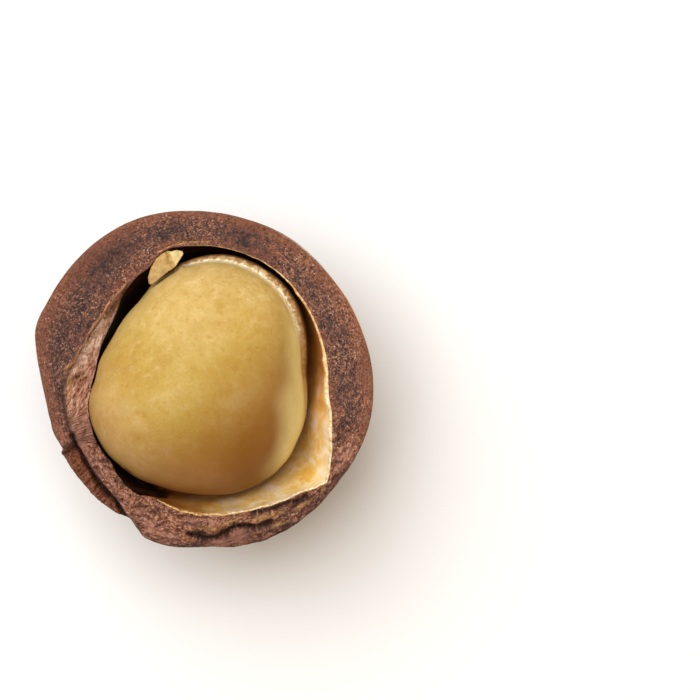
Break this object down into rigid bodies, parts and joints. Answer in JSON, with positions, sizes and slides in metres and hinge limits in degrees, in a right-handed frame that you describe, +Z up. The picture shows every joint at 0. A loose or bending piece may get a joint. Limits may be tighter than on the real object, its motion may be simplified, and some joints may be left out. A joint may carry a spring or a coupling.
{
  "type": "macadamia nut in shell",
  "caption": "Half of a cracked macadamia nut: a thick woody shell with a level, partly broken rim, holding the whole round kernel, which domes up out of it.",
  "frame": {"origin": "on the surface the half nut rests on, under the centre of the rim", "axes": "+Z up out of the open shell, +X to the right of the picture and +Y to its top; the rim lies level in XY"},
  "size_m": [0.0251, 0.025, 0.0176],
  "materials": {
    "shell": "rough brown broken wood on the rim, glossy orange-brown outside, smooth cream and dark brown lining",
    "kernel": "smooth waxy cream yellow",
    "chip": "dull pale yellow broken flake"
  },
  "bodies": {
    "root": {"half_shell": "shell", "kernel": "kernel", "kernel_chip": "chip"}
  },
  "joints": []
}
